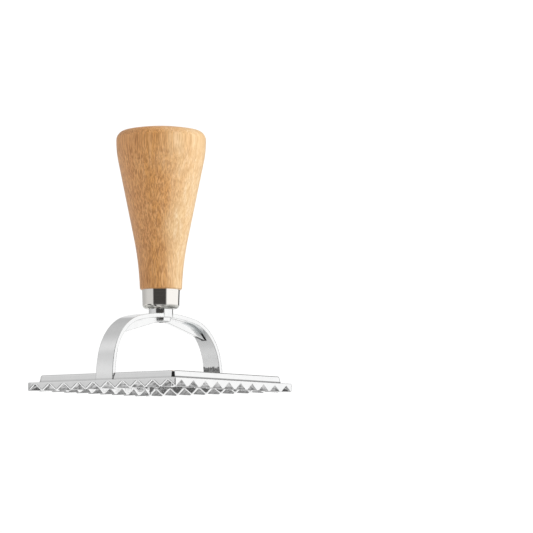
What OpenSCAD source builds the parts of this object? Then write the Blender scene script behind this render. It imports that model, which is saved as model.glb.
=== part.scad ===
// Square ravioli stamp: a cast head with a crimping rim and an arched strap,
// topped by a turned beech handle in a pressed ferrule. Sizes in millimetres, +Z up,
// origin at the middle of the rim's underside.

/* [Stamp plate] */
// Side of the square plate
plate_side = 70; // [55:1:90]
// Thickness of the plate at its outer edge
plate_t = 3.1; // [2.8:0.1:5]
// Radius on the plate's upright corners
plate_corner_r = 0.35; // [0.35:0.1:1.95]
// Radius on the plate's top edge
plate_edge_r = 0.3; // [0.1:0.05:0.3]
// Width of the toothed rim, from the outer face to the cavity
rim_w = 7.5; // [5:0.5:10]
// Depth of the moulding cavity
cavity_h = 4.1; // [3.4:0.1:4.6]
// Radius on the cavity's upright corners at its mouth
cavity_corner_r = 2.5; // [1:0.5:6]
// How far each cavity wall leans in over its depth
cavity_draft = 0.6; // [0.1:0.1:0.8]

/* [Teeth] */
// Number of grooves along each side
groove_count = 10; // [6:1:14]
// Height of a groove's root above the crests
groove_h = 2.3; // [1:0.1:2.6]
// Width of the flat crest between two grooves
crest_w = 0.8; // [0.4:0.2:1.4]
// Width of the flat at a groove's root
root_w = 0.3; // [0.1:0.1:1]
// Width of the web left standing on each corner's diagonal
mitre_w = 0.9; // [0.4:0.1:2]

/* [Raised cover] */
// Width of the ledge left round the raised cover
ledge_w = 2.4; // [1.6:0.05:5]
// Height of the raised cover above the ledge
cover_h = 2.7; // [2:0.1:6]
// How far each side of the cover leans in over its height
cover_draft = 0.65; // [0.1:0.05:1]
// Radius on the cover's upright corners at the ledge
cover_corner_r = 2.2; // [2:0.1:5]
// Radius on the cover's top edge
cover_edge_r = 0.7; // [0.2:0.1:0.8]
// Radius of the hollow fillet between the cover and the ledge
cover_fillet_r = 0.6; // [0.3:0.1:1]

/* [Arch] */
// Height of the arch's crown above the ledge
arch_h = 26; // [25:0.1:32]
// Thickness of the strap
strap_t = 1.5; // [1.2:0.1:2.5]
// Width of the strap at its feet
strap_foot_w = 8; // [6:0.1:14]
// Width of the strap at the crown
strap_crown_w = 7.1; // [5:0.1:8.5]
// How far the feet stand proud of the cover's sides
foot_proud = 0.2; // [0.1:0.05:1]
// Radius of the arch's shoulders
shoulder_r = 19.5; // [16:0.5:21]
// Slope in degrees where the crown runs into the shoulder
crown_slope = 11.5; // [9:0.5:14]
// Slope in degrees where the shoulder runs into the leg
leg_slope = 78; // [74:0.5:82]
// Slope in degrees of the leg at the ledge
foot_slope = 89; // [86:0.5:90]
// Thickness of the gusset ribs under the crown
rib_t = 1.6; // [1:0.1:3]
// Slope in degrees of the shoulder where a rib's lower edge runs out
rib_end_slope = 52; // [44:1:60]
// Height above the boss's underside where the ribs' lower edges would meet
rib_lift = 0.75; // [0.3:0.05:1.5]

/* [Boss] */
// Radius of the boss above the strap
boss_r = 4.55; // [4:0.05:6]
// Height of the boss above the crown
boss_h = 1.7; // [1:0.1:4]
// Radius of the boss under the strap
spigot_r = 3.7; // [3.4:0.1:5]
// How far the boss reaches under the strap
spigot_h = 1.75; // [1.2:0.05:4]
// Radius on the lower edge of the boss
spigot_edge_r = 0.8; // [0.2:0.1:0.8]

/* [Ferrule] */
// Height of the ferrule
ferrule_h = 7.2; // [6:0.1:12]
// Outer radius of the ferrule at its mouth
ferrule_mouth_r = 7.07; // [6.8:0.01:7.6]
// Outer radius of the ferrule above its rounded bottom
ferrule_base_r = 6.88; // [6:0.01:7]
// Radius on the ferrule's lower edge
ferrule_edge_r = 1.5; // [1:0.1:2]
// Wall thickness of the ferrule
ferrule_t = 0.8; // [0.5:0.1:1]

/* [Handle] */
// Height of the handle above the ferrule
handle_h = 61.3; // [50:0.1:80]
// Radius of the handle at the ferrule
neck_r = 7.85; // [7.7:0.05:9]
// Slope in degrees of the handle's side at the ferrule
neck_slope = 1.9; // [0:0.1:4]
// Share of the handle's height at which the neck's slope gives way to the side's
flare_share = 0.16; // [0.1:0.01:0.3]
// Largest radius of the handle
grip_r = 16.85; // [14:0.05:20]
// Radius of the round where the side turns upright
swell_r = 40; // [25:1:60]
// Radius on the handle's top edge
top_edge_r = 3.7; // [2:0.1:6]
// Radius of the domed top
dome_r = 67; // [50:1:120]
// Radius on the edge that sits over the ferrule
neck_edge_r = 0.4; // [0.1:0.1:0.6]

/* [Stud] */
// Radius of the threaded stud
stud_r = 2.5; // [2:0.1:2.9]
// Length of the stud inside the handle above the ferrule
stud_grip_l = 20; // [12:1:32]
// Height of the stud's lower end above the boss's underside
stud_recess = 0.4; // [0.1:0.1:1]
// Length of the stud's point
stud_point_l = 3; // [1:0.5:5]
// Radius of the stud's tip
stud_tip_r = 0.4; // [0.2:0.1:1]
// Width of the chamfer on the stud's lower end
stud_chamfer = 0.5; // [0.2:0.1:0.8]

/* [Fits] */
// Radial clearance round the stud
stud_clearance = 0.05; // [0.02:0.01:0.15]
// Radial clearance of the stud's hole in the ferrule
ferrule_hole_clearance = 0.2; // [0.1:0.05:0.5]
// Clearance between the handle's tenon and the ferrule
tenon_clearance = 0.1; // [0.05:0.01:0.2]
// Depth left below the tip of the stud in the handle
bore_spare = 1; // [0.2:0.1:3]

/* [Hidden] */
$fn = 120;
// Segments of the long, shallow arcs
long_fn = 480;
// How far a cut runs past the face that it opens
over = 1;
// How far the arc of the cover's fillet dips below the ledge
fillet_dip = 0.03;

half_plate = plate_side / 2;
groove_pitch = plate_side / groove_count;
cover_half = half_plate - ledge_w;

// The arch is a chain of three tangent arcs from the crown down to the ledge: crown, shoulder
// and leg. The shoulder's radius is given, and the other two follow from the height and span.
foot_x = cover_half + foot_proud;
crown_z = plate_t + arch_h;
// The direction at a slope, counted from upright
function along(slope) = [sin(slope), cos(slope)];
span_left = foot_x - shoulder_r * (sin(leg_slope) - sin(crown_slope));
rise_left = arch_h - shoulder_r * (cos(crown_slope) - cos(leg_slope));
crown_dx = sin(crown_slope);
crown_dz = 1 - cos(crown_slope);
leg_dx = sin(foot_slope) - sin(leg_slope);
leg_dz = cos(leg_slope) - cos(foot_slope);
arc_det = crown_dx * leg_dz - crown_dz * leg_dx;
crown_r = (span_left * leg_dz - rise_left * leg_dx) / arc_det;
leg_r = (rise_left * crown_dx - span_left * crown_dz) / arc_det;
crown_centre = [0, crown_z - crown_r];
shoulder_centre = crown_centre + (crown_r - shoulder_r) * along(crown_slope);
leg_centre = shoulder_centre + (shoulder_r - leg_r) * along(leg_slope);
// How far the feet sink into the plate that they grow from
root_sink = 0.4;
// Straight stretches that make up each arc of the arch
crown_steps = 8;
shoulder_steps = 26;
leg_steps = 6;
// Degrees between the points that carry a rib inside the strap
rib_step = 5;

boss_top = crown_z + boss_h;
strap_under = crown_z - strap_t;
boss_bottom = strap_under - spigot_h;
ferrule_top = boss_top + ferrule_h;

// The handle's side runs up from the neck, turns outward in a hollow arc about the turning
// point, and goes on straight until it touches the round of the swell
handle_top = ferrule_top + handle_h;
dome_angle = asin((grip_r - top_edge_r) / (dome_r - top_edge_r));
dome_centre_z = handle_top - dome_r;
grip_z = dome_centre_z + (dome_r - top_edge_r) * cos(dome_angle);
flare_l = flare_share * handle_h;
flare_turn = [neck_r, ferrule_top] + flare_l * along(neck_slope);
swell_centre = [grip_r - swell_r, grip_z];
turn_offset = flare_turn - swell_centre;
side_slope = -acos(swell_r / norm(turn_offset)) - atan2(turn_offset.y, turn_offset.x);
side_normal = [cos(side_slope), -sin(side_slope)];
flare_r = flare_l / tan((side_slope - neck_slope) / 2);
flare_centre = [neck_r, ferrule_top] + flare_r * [cos(neck_slope), -sin(neck_slope)];
// How far one stretch of the handle's section runs into the next
stretch_lap = 2;
flare_end = flare_turn + flare_l * along(side_slope);
swell_start = swell_centre + swell_r * side_normal;

stud_bottom = boss_bottom + stud_recess;
stud_top = ferrule_top + stud_grip_l;
stud_bore_r = stud_r + stud_clearance;

// Half of a block's upright section, from the centre of its corner round out to reach: the side
// leans in by draft over the height, and the top edge is rounded
module side_section(reach, h, draft, edge_r) {
    lean = atan(draft / h);
    edge_centre = [reach - (edge_r + (h - edge_r) * sin(lean)) / cos(lean), h - edge_r];
    polygon([[0, 0], [reach, 0], edge_centre + edge_r * [cos(lean), sin(lean)], [edge_centre.x, h], [0, h]]);
    intersection() {
        translate(edge_centre)
            circle(edge_r);
        square([reach, h]);
    }
}

// The hollow fillet at the foot of such a section. Its arc dips a little below the foot, so that
// it meets the ledge at a clear angle.
module fillet_section(reach, h, draft, fillet_r) {
    lean = atan(draft / h);
    arc_centre = [reach, fillet_r - fillet_dip]
        + [fillet_r / cos(lean) - (fillet_r - fillet_dip) * tan(lean), 0];
    difference() {
        square([arc_centre.x, arc_centre.y - fillet_r * sin(lean)]);
        translate(arc_centre)
            circle(fillet_r);
    }
}

// A square block with rounded corners, whose section is drawn from the centre of a corner's round
module swept_block(half, h, r) {
    core = half - r;
    for (turn = [0, 90])
        rotate([90, 0, turn])
            linear_extrude(2 * core, center = true) {
                mirrored_pair()
                    translate([core, 0])
                        children();
                translate([-core, 0])
                    square([2 * core, h]);
            }
    for (x = [-core, core], y = [-core, core])
        translate([x, y, 0])
            rotate_extrude()
                children();
}

// A square block whose four sides lean in by draft over its height, with rounded corners
module drafted_block(half, h, r, draft) {
    core = half - r;
    side_profile = [[-half, 0], [half, 0], [half - draft, h], [draft - half, h]];
    for (turn = [0, 90])
        rotate([90, 0, turn])
            linear_extrude(2 * core, center = true)
                polygon(side_profile);
    for (x = [-core, core], y = [-core, core])
        translate([x, y, 0])
            cylinder(h = h, r1 = r, r2 = r - draft);
}

// One row of V grooves across the rim on the -Y side, cut off at 45 degrees beside the web that
// stands on each corner's diagonal
module groove_row() {
    wedge_tip = -mitre_w / sqrt(2);
    wedge_reach = half_plate + 2 * over;
    half_mouth = (groove_pitch - crest_w) / 2;
    flank_run = half_mouth - root_w / 2;
    mouth = half_mouth + over * flank_run / groove_h;
    groove_profile = [[-mouth, -over], [mouth, -over], [root_w / 2, groove_h], [-root_w / 2, groove_h]];
    intersection() {
        for (i = [0 : groove_count - 1])
            translate([(i + 0.5) * groove_pitch - half_plate, 0, 0])
                rotate([90, 0, 0])
                    linear_extrude(half_plate + over)
                        polygon(groove_profile);
        translate([0, 0, -2 * over])
            linear_extrude(groove_h + 3 * over)
                polygon([[0, wedge_tip], [wedge_reach, wedge_tip - wedge_reach],
                         [-wedge_reach, wedge_tip - wedge_reach]]);
    }
}

// The moulding cavity, open downward, widening a little towards its mouth
module cavity() {
    cavity_half = half_plate - rim_w;
    mouth_spread = cavity_draft * over / cavity_h;
    translate([0, 0, -over])
        drafted_block(cavity_half + mouth_spread, cavity_h + over,
                      cavity_corner_r + mouth_spread, cavity_draft + mouth_spread);
}

// The plate with its raised cover, hollow underneath, and its crimping teeth
module stamp_plate() {
    difference() {
        union() {
            swept_block(half_plate, plate_t, plate_corner_r)
                side_section(plate_corner_r, plate_t, 0, plate_edge_r);
            translate([0, 0, plate_t])
                swept_block(cover_half, cover_h, cover_corner_r) {
                    side_section(cover_corner_r, cover_h, cover_draft, cover_edge_r);
                    fillet_section(cover_corner_r, cover_h, cover_draft, cover_fillet_r);
                }
        }
        cavity();
        for (turn = [0 : 90 : 270])
            rotate([0, 0, turn])
                groove_row();
    }
}

// The points of an arc between two slopes
function arc_points(centre, r, from, to, steps) =
    [for (i = [0 : steps]) centre + r * along(from + (to - from) * i / steps)];

// A list of points without its first, and in the opposite order
function tail(points) = [for (i = [1 : len(points) - 1]) points[i]];
function reversed(points) = [for (i = [len(points) - 1 : -1 : 0]) points[i]];

// Half of the arch's outline from the crown to just below the ledge, drawn in by inset
function half_arch_points(inset) =
    let (
        crown = arc_points(crown_centre, crown_r - inset, 0, crown_slope, crown_steps),
        shoulder = arc_points(shoulder_centre, shoulder_r - inset, crown_slope, leg_slope, shoulder_steps),
        leg = arc_points(leg_centre, leg_r - inset, leg_slope, foot_slope, leg_steps),
        foot = [leg[leg_steps].x, plate_t - root_sink]
    )
    concat(crown, tail(shoulder), tail(leg), [foot]);

// Half of the strap's side view
module half_arch_profile() {
    polygon(concat(half_arch_points(0), reversed(half_arch_points(strap_t))));
}

// A point on the middle of the strap at a slope of the shoulder
function shoulder_point(slope) = shoulder_centre + (shoulder_r - strap_t / 2) * along(slope);

// Half of the gusset's side view: it fills the corner between the boss and the strap
module half_rib_profile() {
    polygon(concat(
        [[0, boss_bottom + rib_lift]],
        [for (slope = [rib_end_slope : -rib_step : crown_slope]) shoulder_point(slope)],
        [[0, crown_z - strap_t / 2]]
    ));
}

module mirrored_pair() {
    children();
    mirror([1, 0, 0])
        children();
}

// The strap, narrowing from its feet to the crown, with the thin gusset under the crown
module arch() {
    reach = 2 * foot_x + 2 * strap_t;
    foot_half = strap_foot_w / 2;
    crown_half = strap_crown_w / 2;
    mirrored_pair()
        intersection() {
            rotate([90, 0, 0])
                linear_extrude(2 * strap_foot_w, center = true)
                    half_arch_profile();
            translate([0, 0, plate_t - root_sink])
                rotate([90, 0, 90])
                    linear_extrude(reach, center = true)
                        polygon([[-foot_half, 0], [foot_half, 0], [crown_half, arch_h + root_sink],
                                 [-crown_half, arch_h + root_sink]]);
        }
    mirrored_pair()
        rotate([90, 0, 0])
            linear_extrude(rib_t, center = true)
                half_rib_profile();
}

// The boss through the crown, wider above the strap than below it
module boss() {
    translate([0, 0, strap_under])
        cylinder(h = boss_top - strap_under, r = boss_r);
    translate([0, 0, boss_bottom])
        rotate_extrude()
            cup_profile(spigot_r, spigot_r, spigot_h + strap_t / 2, spigot_edge_r);
}

// Half of an upright section, from r_low to r_high, with a rounded lower edge
module cup_profile(r_low, r_high, h, edge_r) {
    polygon([[0, edge_r], [r_low, edge_r], [r_high, h], [0, h]]);
    square([r_low - edge_r, edge_r]);
    intersection() {
        translate([r_low - edge_r, edge_r])
            circle(edge_r);
        square([r_low, edge_r]);
    }
}

// The cast head: plate, cover, arch and boss in one piece, tapped through for the stud
module head() {
    color("silver")
        difference() {
            union() {
                stamp_plate();
                arch();
                boss();
            }
            translate([0, 0, boss_bottom - over])
                cylinder(h = boss_top - boss_bottom + 2 * over, r = stud_bore_r);
        }
}

// The ferrule's inside, or with a clearance the tenon that fills it
module ferrule_inside(clearance) {
    inner_edge_r = ferrule_edge_r - ferrule_t;
    cup_profile(ferrule_base_r - ferrule_t - clearance, ferrule_mouth_r - ferrule_t - clearance,
                ferrule_h - ferrule_t - clearance, inner_edge_r);
}

// The pressed cap that binds the handle's lower end
module ferrule() {
    color("gainsboro")
        difference() {
            translate([0, 0, boss_top])
                rotate_extrude()
                    cup_profile(ferrule_base_r, ferrule_mouth_r, ferrule_h, ferrule_edge_r);
            translate([0, 0, boss_top + ferrule_t])
                rotate_extrude()
                    ferrule_inside(0);
            translate([0, 0, boss_top - over])
                cylinder(h = ferrule_t + 2 * over, r = stud_r + ferrule_hole_clearance);
        }
}

// Half of the handle's upright section above the ferrule. Each stretch runs a little way into
// the next, on the side where it lies inside it.
module handle_profile() {
    // Neck with its small edge, up to the end of the hollow flare
    difference() {
        polygon([[0, ferrule_top], [neck_r - neck_edge_r, ferrule_top],
                 [neck_r, ferrule_top + neck_edge_r], [flare_end.x, ferrule_top + neck_edge_r],
                 flare_end, [0, flare_end.y]]);
        translate(flare_centre)
            circle(flare_r, $fn = long_fn);
    }
    // Straight side
    side_foot = flare_end - stretch_lap * along(side_slope);
    polygon([[0, side_foot.y], side_foot, swell_start, [0, swell_start.y]]);
    // Swell that turns the side upright
    intersection() {
        translate(swell_centre)
            circle(swell_r, $fn = long_fn);
        translate([0, swell_start.y - stretch_lap])
            square([grip_r + over, grip_z - swell_start.y + stretch_lap]);
    }
    // Rounded top edge
    translate([grip_r - top_edge_r, grip_z])
        circle(top_edge_r);
    // Domed top
    intersection() {
        translate([0, dome_centre_z])
            circle(dome_r, $fn = long_fn);
        translate([0, grip_z - stretch_lap])
            square([dome_r * sin(dome_angle), handle_h]);
    }
}

// The turned wooden handle: grip, and a tenon inside the ferrule, bored for the stud
module handle() {
    color("burlywood")
        difference() {
            union() {
                rotate_extrude()
                    handle_profile();
                translate([0, 0, boss_top + ferrule_t + tenon_clearance])
                    rotate_extrude()
                        ferrule_inside(tenon_clearance);
            }
            translate([0, 0, boss_top])
                cylinder(h = stud_top - boss_top + bore_spare, r = stud_bore_r);
        }
}

// The stud that draws the handle down onto the boss
module stud() {
    shank_l = stud_top - stud_bottom - stud_chamfer - stud_point_l;
    color("gray")
        translate([0, 0, stud_bottom]) {
            cylinder(h = stud_chamfer, r1 = stud_r - stud_chamfer, r2 = stud_r);
            translate([0, 0, stud_chamfer])
                cylinder(h = shank_l, r = stud_r);
            translate([0, 0, stud_chamfer + shank_l])
                cylinder(h = stud_point_l, r1 = stud_r, r2 = stud_tip_r);
        }
}

head();
ferrule();
handle();
stud();
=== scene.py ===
"""The looks of a square ravioli stamp: polished cast head, nickel ferrule and a turned beech handle."""

import math

import bpy
from mathutils import Matrix, Vector


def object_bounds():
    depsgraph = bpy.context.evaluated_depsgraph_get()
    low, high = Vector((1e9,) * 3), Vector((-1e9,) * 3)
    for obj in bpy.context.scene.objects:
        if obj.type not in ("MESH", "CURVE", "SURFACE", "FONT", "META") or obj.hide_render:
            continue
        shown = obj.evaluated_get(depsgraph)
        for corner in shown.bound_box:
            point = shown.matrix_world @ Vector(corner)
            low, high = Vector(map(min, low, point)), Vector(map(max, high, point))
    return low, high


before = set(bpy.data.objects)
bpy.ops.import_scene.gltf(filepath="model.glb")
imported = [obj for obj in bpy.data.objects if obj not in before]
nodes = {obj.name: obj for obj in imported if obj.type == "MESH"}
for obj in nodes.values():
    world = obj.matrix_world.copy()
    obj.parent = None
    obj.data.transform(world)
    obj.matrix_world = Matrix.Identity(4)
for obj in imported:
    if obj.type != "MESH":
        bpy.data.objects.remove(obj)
cad_low, cad_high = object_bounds()

MM = 0.001

# Camera: just below the base plane, turned towards the stamp's near corner
CAMERA_PLACE = Vector((-0.8158, -0.6594, -0.0448))
CAMERA_TURN = -53.21
CAMERA_TILT = 4.99
CAMERA_ROLL = -0.10
CAMERA_LENS = 189.88
CAMERA_NEAR = 0.05
CAMERA_FAR = 50
SENSOR = 36

# Level directions seen from the stamp: towards the camera, and to the camera's right
TO_CAMERA = Vector((math.sin(math.radians(CAMERA_TURN)), -math.cos(math.radians(CAMERA_TURN)), 0))
TO_RIGHT = Vector((math.cos(math.radians(CAMERA_TURN)), math.sin(math.radians(CAMERA_TURN)), 0))


def place_camera():
    camera = bpy.data.objects.new("camera", bpy.data.cameras.new("camera"))
    bpy.context.collection.objects.link(camera)
    camera.data.lens = CAMERA_LENS
    camera.data.sensor_width = SENSOR
    camera.data.clip_start = CAMERA_NEAR
    camera.data.clip_end = CAMERA_FAR
    turn = Matrix.Rotation(math.radians(CAMERA_TURN), 4, "Z")
    tilt = Matrix.Rotation(math.radians(90 + CAMERA_TILT), 4, "X")
    roll = Matrix.Rotation(math.radians(CAMERA_ROLL), 4, "Z")
    camera.matrix_world = Matrix.Translation(CAMERA_PLACE) @ turn @ tilt @ roll
    bpy.context.scene.camera = camera


# The part of a noise's values in which nearly all of it lies
NOISE_SPREAD = (0.3, 0.7)


class Tree:
    """Short calls that add nodes to a material's or the world's node tree."""

    def __init__(self, tree):
        self.tree = tree
        tree.nodes.clear()

    def node(self, kind, inputs=(), **settings):
        made = self.tree.nodes.new("ShaderNode" + kind)
        for name, value in settings.items():
            setattr(made, name, value)
        for name, value in dict(inputs).items():
            self.fill(made.inputs[name], value)
        return made

    def fill(self, socket, value):
        if isinstance(value, bpy.types.NodeSocket):
            self.tree.links.new(value, socket)
        else:
            socket.default_value = value

    def math(self, operation, *values):
        return self.node("Math", enumerate(values), operation=operation).outputs[0]

    def vector(self, operation, *values, output=0):
        return self.node("VectorMath", enumerate(values), operation=operation).outputs[output]

    def product(self, first, *others):
        for other in others:
            first = self.math("MULTIPLY", first, other)
        return first

    def all_but(self, share):
        return self.math("SUBTRACT", 1, share)

    def ramp(self, value, fade, start=0.0, end=1.0):
        """A smooth step, which gives start at the fade's first value and end at its second."""
        inputs = {"Value": value, "From Min": fade[0], "From Max": fade[1], "To Min": start, "To Max": end}
        return self.node("MapRange", inputs, interpolation_type="SMOOTHSTEP").outputs[0]

    def blend(self, factor, first, second):
        """A number between the first and the second."""
        return self.node("Mix", {0: factor, 2: first, 3: second}).outputs[0]

    def mix(self, factor, first, second):
        """A colour between the first and the second."""
        return self.node("Mix", {0: factor, 6: first, 7: second}, data_type="RGBA").outputs[2]

    def noise(self, place, scale, detail=2.0, roughness=0.5):
        inputs = {"Vector": place, "Scale": scale, "Detail": detail, "Roughness": roughness}
        return self.node("TexNoise", inputs).outputs[0]

    def place_mm(self, stretch=(1, 1, 1)):
        """The place on the object in millimetres, stretched along its axes."""
        place = self.node("TexCoord").outputs["Object"]
        return self.vector("MULTIPLY", place, [axis / MM for axis in stretch])

    def grain(self, waves, detail=2.0, roughness=0.5):
        """Noise with its own number of waves a millimetre along each axis."""
        return self.noise(self.place_mm(waves), 1.0, detail, roughness)

    def bump(self, height, distance, strength, normal=None):
        inputs = {"Height": height, "Distance": distance, "Strength": strength}
        if normal is not None:
            inputs["Normal"] = normal
        return self.node("Bump", inputs).outputs[0]

    def surface(self, shader):
        out = self.node("OutputMaterial")
        self.tree.links.new(shader, out.inputs["Surface"])


def new_material(name):
    made = bpy.data.materials.new(name)
    made.use_nodes = True
    return made, Tree(made.node_tree)


def grey(level):
    return (level, level, level, 1)


# The studio as polished metal sees it
BACKDROP = grey(1.06)
STUDIO_WHITE = grey(1.0)
LEFT_WALL = grey(0.65)
LEFT_WALL_HIGH = grey(0.76)
LEFT_WALL_TOP = grey(0.78)
LEFT_WALL_BACK = grey(0.5)
BACK_WALL = grey(0.8)
DARK_ROOM = (0.055, 0.052, 0.05, 1)
DARK_CEILING = grey(0.02)
CEILING_TONE = grey(0.57)
LEFT_FLOOR = grey(0.1)
FRONT_FLOOR = grey(0.14)
WORLD_LIGHT = 0.5

# Where the studio's tones fade in or out, in degrees from nothing to full. Turns are counted from
# the camera's side towards its right, and heights above the horizon.
LEFT_WALL_TURN = (-125, -80)
RIGHT_WALL_TURN = (0, 1)
DARK_CORNER_TURN = (135, 142)
BACK_WALL_TURN = (168, 175)
HIGH_FROM = (3, 10)
HIGH_UNTIL = (22, 11)
TOP_FROM = (21, 35)
CEILING_FROM = (37, 57)
ZENITH_FROM = (65, 80)
FRONT_FROM = (-50, -43)
FRONT_UNTIL = (43, 30)
FRONT_HEIGHT = (60, 48)
DARK_CEILING_FROM = (8, 20)
LEFT_FLOOR_FROM = (-96, -86)
LEFT_FLOOR_UNTIL = (-57, -64)
LEFT_FLOOR_DEPTH = (-19, -14)
FRONT_FLOOR_DEPTH = (-29, -22)
FLOOR_BELOW = (-0.3, -1.5)


def studio_tone(t):
    """The studio's tone in each direction: white to the right, grey to the left, dark in front."""
    direction = t.node("TexCoord").outputs["Generated"]
    aside = t.vector("DOT_PRODUCT", direction, TO_RIGHT, output=1)
    ahead = t.vector("DOT_PRODUCT", direction, TO_CAMERA, output=1)
    up = t.node("SeparateXYZ", {0: direction}).outputs[2]
    turn = t.product(t.math("ARCTAN2", aside, ahead), math.degrees(1))
    height = t.product(t.math("ARCSINE", up), math.degrees(1))
    high = t.product(t.ramp(height, HIGH_FROM), t.ramp(height, HIGH_UNTIL))
    left_wall = t.mix(high, LEFT_WALL, LEFT_WALL_HIGH)
    left_wall = t.mix(t.ramp(height, TOP_FROM), left_wall, LEFT_WALL_TOP)
    tone = t.mix(t.ramp(turn, LEFT_WALL_TURN), LEFT_WALL_BACK, left_wall)
    tone = t.mix(t.ramp(turn, RIGHT_WALL_TURN), tone, STUDIO_WHITE)
    tone = t.mix(t.ramp(turn, DARK_CORNER_TURN), tone, DARK_ROOM)
    tone = t.mix(t.ramp(t.math("ABSOLUTE", turn), BACK_WALL_TURN), tone, BACK_WALL)
    tone = t.mix(t.ramp(height, CEILING_FROM), tone, CEILING_TONE)
    tone = t.mix(t.ramp(height, ZENITH_FROM), tone, STUDIO_WHITE)
    front = t.product(t.ramp(turn, FRONT_FROM), t.ramp(turn, FRONT_UNTIL))
    dark = t.mix(t.ramp(height, DARK_CEILING_FROM), DARK_ROOM, DARK_CEILING)
    tone = t.mix(t.product(front, t.ramp(height, FRONT_HEIGHT)), tone, dark)
    left = t.product(t.ramp(turn, LEFT_FLOOR_FROM), t.ramp(turn, LEFT_FLOOR_UNTIL))
    floor = t.mix(t.product(left, t.ramp(height, LEFT_FLOOR_DEPTH)), STUDIO_WHITE, LEFT_FLOOR)
    floor = t.mix(t.product(front, t.ramp(height, FRONT_FLOOR_DEPTH)), floor, FRONT_FLOOR)
    return t.mix(t.ramp(height, FLOOR_BELOW), tone, floor)


def studio_world():
    """A white backdrop, the studio in the reflections, and a soft even light on all else."""
    world = bpy.data.worlds.new("studio")
    bpy.context.scene.world = world
    world.use_nodes = True
    t = Tree(world.node_tree)
    paths = t.node("LightPath").outputs
    shown = t.mix(paths["Is Glossy Ray"], BACKDROP, studio_tone(t))
    seen = t.math("MAXIMUM", paths["Is Camera Ray"], paths["Is Glossy Ray"])
    seen = t.math("MAXIMUM", seen, paths["Is Transmission Ray"])
    glow = t.node("Background", {"Color": shown, "Strength": 1.0})
    light = t.node("Background", {"Color": STUDIO_WHITE, "Strength": WORLD_LIGHT})
    both = t.node("MixShader", {0: seen, 1: light.outputs[0], 2: glow.outputs[0]})
    out = t.node("OutputWorld")
    t.tree.links.new(both.outputs[0], out.inputs["Surface"])


FLOOR_SIDE = 4.0
FLOOR_COLOUR = (0.9, 0.9, 0.89, 1)


def one_sided_floor():
    """A pale floor that shows from above only, so that the camera below its plane sees past it."""
    half = FLOOR_SIDE / 2
    mesh = bpy.data.meshes.new("floor")
    corners = [(-half, -half, 0), (half, -half, 0), (half, half, 0), (-half, half, 0)]
    mesh.from_pydata(corners, [], [(0, 1, 2, 3)])
    floor = bpy.data.objects.new("floor", mesh)
    bpy.context.collection.objects.link(floor)
    made, t = new_material("pale_floor")
    pale_and_sheen = t.node("BsdfDiffuse", {"Color": FLOOR_COLOUR})
    clear = t.node("BsdfTransparent")
    backfacing = t.node("NewGeometry").outputs["Backfacing"]
    glossy = t.node("LightPath").outputs["Is Glossy Ray"]
    unseen = t.math("MAXIMUM", backfacing, glossy)
    t.surface(t.node("MixShader", {0: unseen, 1: pale_and_sheen.outputs[0], 2: clear.outputs[0]}).outputs[0])
    mesh.materials.append(made)


def soft_lamp(name, turn, height, distance, width, tall, power):
    """An area lamp aimed at the stamp, from a turn to the camera's right and a height."""
    flat = math.cos(math.radians(turn)) * TO_CAMERA + math.sin(math.radians(turn)) * TO_RIGHT
    way = flat * math.cos(math.radians(height)) + Vector((0, 0, math.sin(math.radians(height))))
    data = bpy.data.lights.new(name, "AREA")
    data.shape = "RECTANGLE"
    data.size = width
    data.size_y = tall
    data.energy = power
    lamp = bpy.data.objects.new(name, data)
    bpy.context.collection.objects.link(lamp)
    lamp.location = (cad_low + cad_high) / 2 + way * distance
    lamp.rotation_euler = way.to_track_quat("Z", "Y").to_euler()
    lamp.visible_glossy = False


def studio_lamps():
    soft_lamp("key", turn=68, height=22, distance=0.8, width=0.5, tall=0.7, power=4.9)
    soft_lamp("fill", turn=-60, height=20, distance=0.9, width=0.7, tall=0.7, power=1.6)
    soft_lamp("top", turn=150, height=65, distance=0.9, width=0.8, tall=0.8, power=2.0)


class Spot:
    """Where a point of a piece lies, in millimetres, and which way its face looks."""

    def __init__(self, t):
        self.place = t.place_mm()
        self.x, self.y, self.z = t.node("SeparateXYZ", {0: self.place}).outputs
        self.off_x = t.math("ABSOLUTE", self.x)
        self.off_y = t.math("ABSOLUTE", self.y)
        self.farther_off = t.math("MAXIMUM", self.off_x, self.off_y)
        self.normal = t.node("NewGeometry").outputs["True Normal"]
        self.normal_x, self.normal_y, self.normal_z = t.node("SeparateXYZ", {0: self.normal}).outputs


# The fades below go from nothing to full. Places are in millimetres, waves are counted a
# millimetre, and a lean is a part of the face's normal.

# Worn edges: wide ones on the teeth and fine ones elsewhere
EDGE_RADIUS = 0.4 * MM
WORN_RADIUS = 0.95 * MM
BEVEL_SAMPLES = 8
ABOVE_TEETH = (2.4, 2.6)


def worn_edges(t, spot):
    """A normal that is rounded over the edges, and how far it turns away from the face's own."""
    radius = t.ramp(spot.z, ABOVE_TEETH, WORN_RADIUS, EDGE_RADIUS)
    rounded = t.node("Bevel", {"Radius": radius}, samples=BEVEL_SAMPLES).outputs[0]
    turned = t.math("SUBTRACT", 1, t.vector("DOT_PRODUCT", rounded, spot.normal, output=1))
    return rounded, turned


# Metal left as cast: the grooves' flanks and the cavity, but not the teeth's worn edges, which
# are less worn beside the corners' webs
RIM_SIDE = (34.95, 34.9)
GROOVE_HEIGHT = (2.5, 2.4)
CREST_HEIGHT = (0.02, 0.06)
CAVITY_SIDE = (27.7, 27.6)
CAVITY_HEIGHT = (4.3, 4.2)
CORNER = (28.1, 29.6)
WORN_TURN = (0.03, 0.08)
WORN_HEIGHT = (2.3, 2.0)
UNWORN_IN_CORNER = 0.6


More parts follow.
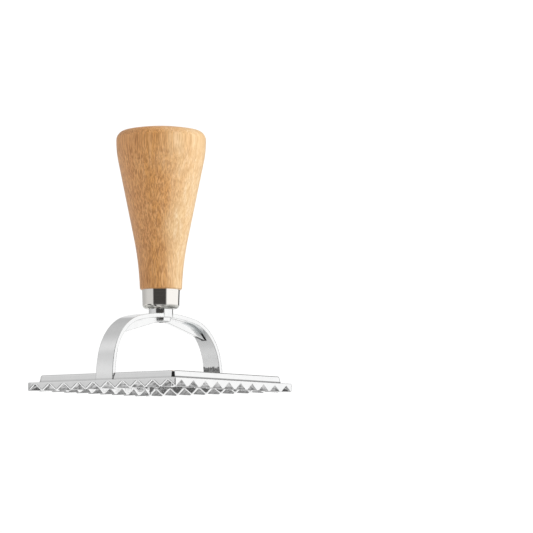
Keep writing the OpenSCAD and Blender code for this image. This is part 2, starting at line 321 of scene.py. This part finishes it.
def cast_places(t, spot, turned, in_corner):
    """Where the metal is as cast, and where the moulding cavity is."""
    groove = t.product(t.ramp(spot.farther_off, RIM_SIDE), t.ramp(spot.z, GROOVE_HEIGHT),
                       t.ramp(spot.z, CREST_HEIGHT))
    cavity = t.product(t.ramp(spot.farther_off, CAVITY_SIDE), t.ramp(spot.z, CAVITY_HEIGHT))
    worn = t.product(t.ramp(turned, WORN_TURN), t.ramp(spot.z, WORN_HEIGHT),
                     t.all_but(t.product(in_corner, UNWORN_IN_CORNER)))
    return t.product(t.math("MAXIMUM", groove, cavity), t.all_but(worn)), cavity


# Under the arch: painted shade round the tip of the gusset's rib, where the metal is also left rough, and
# painted shade on the strap beside it
SHOULDER_CENTRE = (12.67, 0, 8.32)
STRAP_INSIDE_FROM = (17.4, 17.7)
STRAP_INSIDE_UNTIL = (18.3, 18.1)
RIB_HALF = 0.8
RIB_TIP_UNTIL = (26.4, 26.0)
ABOVE_FEET = (10, 11)
RIB_TIP_SHADE_LENGTH = (22.8, 23.8)
RIB_TIP_SHADE_OUTER_SIDE = (0.65, 0.4)
RIB_TIP_SHADE_INNER_SIDE = (-0.2, -0.05)
RIB_EDGE_LENGTH = (19.5, 21.5)
RIB_EDGE_SIDE = (0.9, 0.82)
DOWNWARD_LEAN = (-0.3, -0.5)
RIB_SIDE_SHADE_FROM = (11, 16)
RIB_SIDE_SHADE_UNTIL = (26, 23)
RIB_SIDE_SHADE_OUTER_SIDE = (3.6, 0.2)
RIB_SIDE_SHADE_INNER_SIDE = (-0.1, 0.05)


def rib_painted_shade(t, spot):
    """Painted shade round a rib's tip, and painted shade on the strap beside the rib."""
    aside = t.node("CombineXYZ", {0: spot.off_x, 2: spot.z}).outputs[0]
    from_centre = t.vector("LENGTH", t.vector("SUBTRACT", aside, SHOULDER_CENTRE), output=1)
    under_strap = t.product(t.ramp(from_centre, STRAP_INSIDE_FROM),
                            t.ramp(from_centre, STRAP_INSIDE_UNTIL))
    from_rib = t.math("SUBTRACT", spot.off_y, RIB_HALF)
    beside = t.product(under_strap, t.ramp(spot.off_x, RIB_TIP_SHADE_LENGTH),
                       t.ramp(from_rib, RIB_TIP_SHADE_OUTER_SIDE), t.ramp(from_rib, RIB_TIP_SHADE_INNER_SIDE))
    beneath = t.product(t.ramp(spot.normal_z, DOWNWARD_LEAN), t.ramp(spot.off_x, RIB_EDGE_LENGTH),
                        t.ramp(spot.off_y, RIB_EDGE_SIDE))
    rib_tip_shade = t.product(t.math("MAXIMUM", beside, beneath), t.ramp(spot.z, ABOVE_FEET),
                     t.ramp(spot.off_x, RIB_TIP_UNTIL))
    rib_side_shade = t.product(under_strap, t.ramp(from_rib, RIB_SIDE_SHADE_OUTER_SIDE),
                       t.ramp(from_rib, RIB_SIDE_SHADE_INNER_SIDE), t.ramp(spot.off_x, RIB_SIDE_SHADE_FROM),
                       t.ramp(spot.off_x, RIB_SIDE_SHADE_UNTIL))
    return rib_tip_shade, rib_side_shade


# The dark bands at the feet of the legs' inner faces
INWARD_LEAN = (-0.1, -0.2)
ABOVE_LEDGE = (5.0, 5.6)
FOOT_BAND = (10.6, 10.0)
FOOT_RAGGEDNESS = 2.4
FOOT_WAVES = 0.9


def dark_feet(t, spot):
    outward = t.product(spot.normal_x, t.math("SIGN", spot.x))
    inside = t.product(t.ramp(outward, INWARD_LEAN), t.ramp(spot.z, ABOVE_LEDGE))
    waves = t.math("SUBTRACT", t.noise(spot.place, FOOT_WAVES, detail=3), 0.5)
    ragged = t.math("ADD", spot.z, t.product(waves, FOOT_RAGGEDNESS))
    return t.product(inside, t.ramp(ragged, FOOT_BAND))


# Roughness: mirror-like outside, brushed on top of the cover and coarse where it is as cast
SMOOTH = (0.05, 0.09)
BRUSHED = (0.2, 0.34)
BRUSH_WAVES = (0.05, 3.0, 1)
COARSE = 0.36
COARSE_CAVITY = 0.12
UPWARD_LEAN = (0.97, 0.99)
COVER_TOP_FROM = (5.6, 5.7)
COVER_TOP_UNTIL = (6.0, 5.9)


def cast_roughness(t, spot, haze, cavity, unpolished):
    cover_top = t.product(t.ramp(spot.normal_z, UPWARD_LEAN), t.ramp(spot.z, COVER_TOP_FROM),
                          t.ramp(spot.z, COVER_TOP_UNTIL))
    brushed = t.ramp(t.grain(BRUSH_WAVES, detail=3), NOISE_SPREAD, *BRUSHED)
    polished = t.blend(cover_top, t.ramp(haze, NOISE_SPREAD, *SMOOTH), brushed)
    return t.blend(unpolished, polished, t.blend(cavity, COARSE, COARSE_CAVITY))


# The polished metal's two tones, and the faint smears over them
POLISHED_COOL = (0.93, 0.935, 0.94, 1)
POLISHED_WARM = (0.97, 0.97, 0.965, 1)
SMEAR_TONE = grey(0.3)
SMEAR_SHARE = 0.045
SMEAR_WAVES = (0.5, 0.5, 0.3)

# A mottled tone in the grooves, with painted shade towards the crests, in the two far rows and in the
# corners
GROOVE_MOTTLE_WAVES = 0.6
GROOVE_MOTTLE_SPREAD = (0.35, 0.62)
GROOVE_DARK = grey(0.16)
GROOVE_LIGHT = grey(0.68)
CREST_SHADE_HEIGHT = (0, 1.3)
CREST_SHADE = 0.35
FAR_ROWS = (26.6, 27.6)
NEAR_ROWS = (-27.6, -28.6)
FAR_ROW_SHADE = 0.5
CORNER_SHADE = 0.2


def groove_mottle_and_shade(t, spot, in_corner):
    groove_mottle = t.ramp(t.noise(spot.place, GROOVE_MOTTLE_WAVES, detail=3, roughness=0.6), GROOVE_MOTTLE_SPREAD)
    far_row = t.ramp(t.math("MAXIMUM", spot.x, spot.y), FAR_ROWS)
    near_row = t.ramp(t.math("MINIMUM", spot.x, spot.y), NEAR_ROWS)
    far_row = t.product(far_row, t.all_but(near_row))
    # Painted shade: darker in the two far rows and the corners, and towards the crests
    row_and_corner_shade = t.math("MAXIMUM", t.product(far_row, FAR_ROW_SHADE), t.product(in_corner, CORNER_SHADE))
    light = t.product(groove_mottle, t.ramp(spot.z, CREST_SHADE_HEIGHT, CREST_SHADE, 1), t.all_but(row_and_corner_shade))
    return t.mix(light, GROOVE_DARK, GROOVE_LIGHT)


# Other tones of the casting, and the waves of its fine mottle and of the broad haze over it
MOTTLE_WAVES = 1.6
HAZE_WAVES = 0.12
CAVITY_DARK = grey(0.75)
CAVITY_LIGHT = grey(0.97)
FOOT_DARK = grey(0.2)
FOOT_LIGHT = grey(0.4)
# Tones of the painted shade on the strap beside the rib, and round the rib's tip
RIB_SIDE_SHADE_TONE = (0.24, 0.27, 0.28, 1)
RIB_SIDE_SHADE_SHARE = 0.7
RIB_TIP_SHADE_TONE = grey(0.03)
SPECKLE_SPREAD = (0.38, 0.62)

# Painted shade: thin dark lines along the edges above the teeth, and a darker line where the cover meets
# the ledge, weaker on the two sides beside the strap's feet
EDGE_LINE_TURN = (0.03, 0.25)
EDGE_LINE_TONE = grey(0.2)
EDGE_LINE_SHARE = 0.6
LEDGE_SIDE = (33.8, 33.6)
LEDGE_LINE_FROM = (3.1, 3.2)
LEDGE_LINE_UNTIL = (3.85, 3.65)
LEDGE_LINE_LEAN = (0.2, 0.5)
LEDGE_LINE_SHARES = (0.25, 0.85)
LEDGE_LINE_TONE = grey(0.2)

# Painted shade on the end of the plate at the corner that stands to the left, by how far y exceeds x
LEFT_END = (67.6, 69.6)
LEFT_END_SHADE_TONE = grey(0.35)
LEFT_END_SHADE_SHARE = 0.45


def painted_edge_shade(t, spot, tint, turned):
    # Painted shade along the edges above the teeth and along the ledge
    edge_shade = t.product(t.ramp(turned, EDGE_LINE_TURN), t.ramp(spot.z, ABOVE_TEETH), EDGE_LINE_SHARE)
    tint = t.mix(edge_shade, tint, EDGE_LINE_TONE)
    lean = t.ramp(t.math("ABSOLUTE", spot.normal_y), LEDGE_LINE_LEAN, *LEDGE_LINE_SHARES)
    ledge_shade = t.product(t.ramp(spot.farther_off, LEDGE_SIDE), t.ramp(spot.z, LEDGE_LINE_FROM),
                           t.ramp(spot.z, LEDGE_LINE_UNTIL), lean)
    tint = t.mix(ledge_shade, tint, LEDGE_LINE_TONE)
    # Painted shade on the plate's left end
    left_end_shade = t.ramp(t.math("SUBTRACT", spot.y, spot.x), LEFT_END, 0, LEFT_END_SHADE_SHARE)
    return t.mix(left_end_shade, tint, LEFT_END_SHADE_TONE)


# Relief: slow waves in the polished faces, and the grain of what is as cast
SLOW_WAVES = 0.25
WAVE_DEPTH = 0.02 * MM
WAVE_STRENGTH = 0.5
CAST_DEPTH = 0.05 * MM


def cast_metal():
    """Polished and plated casting: smooth outside, rough as cast in the grooves and the cavity."""
    made, t = new_material("cast_metal")
    spot = Spot(t)
    rounded, turned = worn_edges(t, spot)
    in_corner = t.ramp(t.math("MINIMUM", spot.off_x, spot.off_y), CORNER)
    as_cast, cavity = cast_places(t, spot, turned, in_corner)
    rib_tip_shade, rib_side_shade = rib_painted_shade(t, spot)
    foot = dark_feet(t, spot)
    mottle = t.noise(spot.place, MOTTLE_WAVES, detail=3)
    speckle = t.ramp(mottle, SPECKLE_SPREAD)
    haze = t.noise(spot.place, HAZE_WAVES)
    smears = t.ramp(t.grain(SMEAR_WAVES, detail=4, roughness=0.65), NOISE_SPREAD, SMEAR_SHARE, 0)
    tint = t.mix(smears, t.mix(haze, POLISHED_COOL, POLISHED_WARM), SMEAR_TONE)
    cavity_tint = t.mix(speckle, CAVITY_DARK, CAVITY_LIGHT)
    # The grooves' mottle with its painted shade, and the cavity's speckle
    tint = t.mix(as_cast, tint, t.mix(cavity, groove_mottle_and_shade(t, spot, in_corner), cavity_tint))
    tint = t.mix(foot, tint, t.mix(speckle, FOOT_DARK, FOOT_LIGHT))
    # Painted shade beside the rib and round its tip
    tint = t.mix(t.product(rib_side_shade, RIB_SIDE_SHADE_SHARE), tint, RIB_SIDE_SHADE_TONE)
    tint = t.mix(rib_tip_shade, tint, RIB_TIP_SHADE_TONE)
    # Painted shade along the edges, at the ledge and at the plate's left end
    tint = painted_edge_shade(t, spot, tint, turned)
    unpolished = t.math("MAXIMUM", as_cast, t.math("MAXIMUM", rib_tip_shade, foot))
    roughness = cast_roughness(t, spot, haze, cavity, unpolished)
    waves = t.bump(t.noise(spot.place, SLOW_WAVES, detail=1), WAVE_DEPTH, WAVE_STRENGTH, rounded)
    relief = t.bump(mottle, CAST_DEPTH, as_cast, waves)
    shader = t.node("BsdfPrincipled", {"Base Color": tint, "Metallic": 1.0, "Roughness": roughness,
                                       "Normal": relief})
    t.surface(shader.outputs[0])
    return made


# The ferrule's nickel, and painted shade on its pressed round at the bottom, left out over one patch where
# a painted highlight stays
DRAW_WAVES = (0.15, 0.15, 3)
NICKEL_DARK = (0.93, 0.90, 0.855, 1)
NICKEL_LIGHT = (0.96, 0.93, 0.885, 1)
NICKEL_ROUGHNESS = (0.04, 0.08)
DRAW_DEPTH = 0.01 * MM
DRAW_STRENGTH = 0.3
FERRULE_ROUND = (32.5, 31.7)
ROUND_SHADE_SHARE = 0.85
HIGHLIGHT_PATCH_MIDDLE = -0.9
HIGHLIGHT_PATCH_SIDE = (2.0, 1.0)
ROUND_SHADE_WAVES = 0.7
ROUND_SHADE_SPREAD = (0.35, 0.65)
ROUND_SHADE_DARK = (0.22, 0.22, 0.2, 1)
ROUND_SHADE_LIGHT = (0.46, 0.46, 0.43, 1)


def ferrule_metal():
    """Bright nickel with faint draw lines round it, and painted shade with one painted highlight on its
    round at the bottom.
    """
    made, t = new_material("ferrule_metal")
    place = t.place_mm()
    up = t.node("SeparateXYZ", {0: place}).outputs[2]
    lines = t.grain(DRAW_WAVES)
    # Painted shade on the round at the bottom, left out over a patch near the middle as a painted
    # highlight
    across = t.math("SUBTRACT", t.vector("DOT_PRODUCT", place, TO_RIGHT, output=1), HIGHLIGHT_PATCH_MIDDLE)
    highlight_patch = t.ramp(t.math("ABSOLUTE", across), HIGHLIGHT_PATCH_SIDE)
    round_shade = t.product(t.ramp(up, FERRULE_ROUND), t.all_but(highlight_patch), ROUND_SHADE_SHARE)
    round_shade_tone = t.mix(t.ramp(t.noise(place, ROUND_SHADE_WAVES), ROUND_SHADE_SPREAD), ROUND_SHADE_DARK, ROUND_SHADE_LIGHT)
    tint = t.mix(round_shade, t.mix(lines, NICKEL_DARK, NICKEL_LIGHT), round_shade_tone)
    shader = t.node("BsdfPrincipled", {"Base Color": tint, "Metallic": 1.0,
                                       "Roughness": t.ramp(lines, NOISE_SPREAD, *NICKEL_ROUGHNESS),
                                       "Normal": t.bump(lines, DRAW_DEPTH, DRAW_STRENGTH)})
    t.surface(shader.outputs[0])
    return made


STEEL_DARK = (0.56, 0.56, 0.54, 1)
STEEL_LIGHT = (0.68, 0.67, 0.64, 1)
STEEL_ROUGHNESS = (0.25, 0.4)
STEEL_WAVES = 1.2


def stud_steel():
    made, t = new_material("stud_steel")
    mottle = t.noise(t.place_mm(), STEEL_WAVES, detail=3)
    roughness = t.ramp(mottle, NOISE_SPREAD, *STEEL_ROUGHNESS)
    shader = t.node("BsdfPrincipled", {"Base Color": t.mix(mottle, STEEL_DARK, STEEL_LIGHT),
                                       "Metallic": 1.0, "Roughness": roughness})
    t.surface(shader.outputs[0])
    return made


# The handle's radius low down and near its top, so that the grain's two sides follow its outline
HANDLE_HEIGHTS = (36, 92)
HANDLE_RADII = (8.0, 17.0)

# Across the handle, from -1 at its left to 1 at its right: where the wood turns from pink to plain,
# and from plain to pale. The pale side, to the right where the key lamp shines, is partly painted sheen
PLAIN_FROM = (-0.7, 0.0)
PALE_AND_SHEEN_FROM = (-0.15, 0.78)

# Year rings round the tree's middle, which lay behind the handle and to its left
TREE_MIDDLE = TO_RIGHT * -22 - TO_CAMERA * 52
RINGS_PER_MM = 0.62
RING_SWAY = 14.0
RING_WAVE = 1.6
LATE_WOOD_FROM = (0.35, 0.95)
LATE_WOOD_UNTIL = (1.0, 0.95)
LATE_SHARE = 0.25

# Waves a millimetre of the wood's marks, all long along the handle
BROAD_WAVES = (0.12, 0.12, 0.03)
SWAY_WAVES = (0.06, 0.06, 0.02)
RING_WAVES = (0.5, 0.5, 0.12)
STREAK_WAVES = (0.8, 0.8, 0.045)
FLECK_WAVES = (2.7, 2.7, 0.2)
DASH_WAVES = (4.2, 4.2, 0.4)
LINE_WAVES = (3.4, 3.4, 0.02)

PINK_WOOD = (0.70, 0.345, 0.13, 1)
PLAIN_WOOD = (0.73, 0.355, 0.105, 1)
# The pale side's tone: partly the wood's own, partly painted sheen
PALE_WOOD_AND_SHEEN = (0.775, 0.545, 0.29, 1)
LATE_WOOD = (0.46, 0.21, 0.075, 1)
STREAK_COLOURS = [(0.80, 0.44, 0.18, 1), (0.82, 0.65, 0.42, 1)]
MARK_COLOURS = [(0.34, 0.13, 0.035, 1), (0.58, 0.32, 0.13, 1)]

# Spreads are the noise's values over which a mark fades in, and shares how strongly it shows. Of
# two shares the first is for the pink side and the second for the pale one.
STREAK_SPREAD = (0.42, 0.68)
STREAK_SHARE = 0.7
FLECK_SPREAD = (0.50, 0.64)
FLECK_SHARES = (0.68, 0.32)
DASH_SPREAD = (0.54, 0.66)
DASH_TO_FLECK = 0.6
LINE_SPREAD = (0.48, 0.6)
LINE_SHARES = (0.45, 0.6)

PORE_DEPTH = 0.03 * MM
PORE_STRENGTH = 0.35
LACQUER = {"Coat Weight": 0.1, "Coat Roughness": 0.3}
WOOD_ROUGHNESS = (0.38, 0.5)


def late_wood(t, place):
    """The dark end of each year's ring."""
    level_place = t.vector("MULTIPLY", place, (1, 1, 0.0))
    from_middle = t.vector("LENGTH", t.vector("SUBTRACT", level_place, TREE_MIDDLE), output=1)
    ring = t.math("ADD", from_middle, t.product(t.grain(SWAY_WAVES), RING_SWAY))
    ring = t.math("ADD", ring, t.product(t.grain(RING_WAVES), RING_WAVE))
    band = t.math("FRACT", t.product(ring, RINGS_PER_MM))
    return t.product(t.ramp(band, LATE_WOOD_FROM), t.ramp(band, LATE_WOOD_UNTIL))


def beech():
    """Lacquered beech: pale straight grain with painted sheen on one side, pinker flat grain with flecks
    on the other.
    """
    made, t = new_material("beech")
    place = t.place_mm()
    up = t.node("SeparateXYZ", {0: place}).outputs[2]
    across = t.vector("DOT_PRODUCT", place, TO_RIGHT, output=1)
    side = t.math("DIVIDE", across, t.ramp(up, HANDLE_HEIGHTS, *HANDLE_RADII))
    side = t.math("ADD", side, t.math("SUBTRACT", t.grain(BROAD_WAVES), 0.5))
    pale_and_sheen = t.ramp(side, PALE_AND_SHEEN_FROM)
    streak = t.grain(STREAK_WAVES, detail=3, roughness=0.6)
    fleck = t.grain(FLECK_WAVES)
    dash = t.grain(DASH_WAVES, detail=1)
    line = t.grain(LINE_WAVES)
    tone = t.mix(t.ramp(side, PLAIN_FROM), PINK_WOOD, PLAIN_WOOD)
    # Paler to the right: partly the wood, partly painted sheen
    tone = t.mix(pale_and_sheen, tone, PALE_WOOD_AND_SHEEN)
    tone = t.mix(t.product(late_wood(t, place), LATE_SHARE), tone, LATE_WOOD)
    tone = t.mix(t.ramp(streak, STREAK_SPREAD, 0, STREAK_SHARE), tone, t.mix(pale_and_sheen, *STREAK_COLOURS))
    mark = t.mix(pale_and_sheen, *MARK_COLOURS)
    fleck_share = t.blend(pale_and_sheen, *FLECK_SHARES)
    tone = t.mix(t.product(t.ramp(fleck, FLECK_SPREAD), fleck_share), tone, mark)
    tone = t.mix(t.product(t.ramp(dash, DASH_SPREAD), fleck_share, DASH_TO_FLECK), tone, mark)
    tone = t.mix(t.product(t.ramp(line, LINE_SPREAD), t.blend(pale_and_sheen, *LINE_SHARES)), tone, mark)
    pores = t.bump(t.math("ADD", fleck, dash), PORE_DEPTH, PORE_STRENGTH)
    roughness = t.ramp(streak, NOISE_SPREAD, *WOOD_ROUGHNESS)
    shader = t.node("BsdfPrincipled", {"Base Color": tone, "Roughness": roughness, "Normal": pores,
                                       **LACQUER})
    t.surface(shader.outputs[0])
    return made


def modifier(obj, kind, **settings):
    added = obj.modifiers.new(kind.lower(), kind)
    for name, value in settings.items():
        setattr(added, name, value)


WELD_DISTANCE = 0.001 * MM
SHARP_ANGLE = 28


def crisp_casting(obj):
    """Joins the mesh's faces, so that curved ones shade smoothly up to the sharp edges."""
    modifier(obj, "WELD", merge_threshold=WELD_DISTANCE)
    modifier(obj, "EDGE_SPLIT", split_angle=math.radians(SHARP_ANGLE), use_edge_sharp=False)
    modifier(obj, "WEIGHTED_NORMAL", keep_sharp=False)


def dress(node, material):
    obj = nodes[node]
    obj.data.materials.clear()
    obj.data.materials.append(material)
    return obj


place_camera()
studio_world()
one_sided_floor()
studio_lamps()
crisp_casting(dress("head", cast_metal()))
dress("ferrule", ferrule_metal())
dress("handle", beech())
dress("stud", stud_steel())

bpy.context.scene.view_settings.view_transform = "Standard"
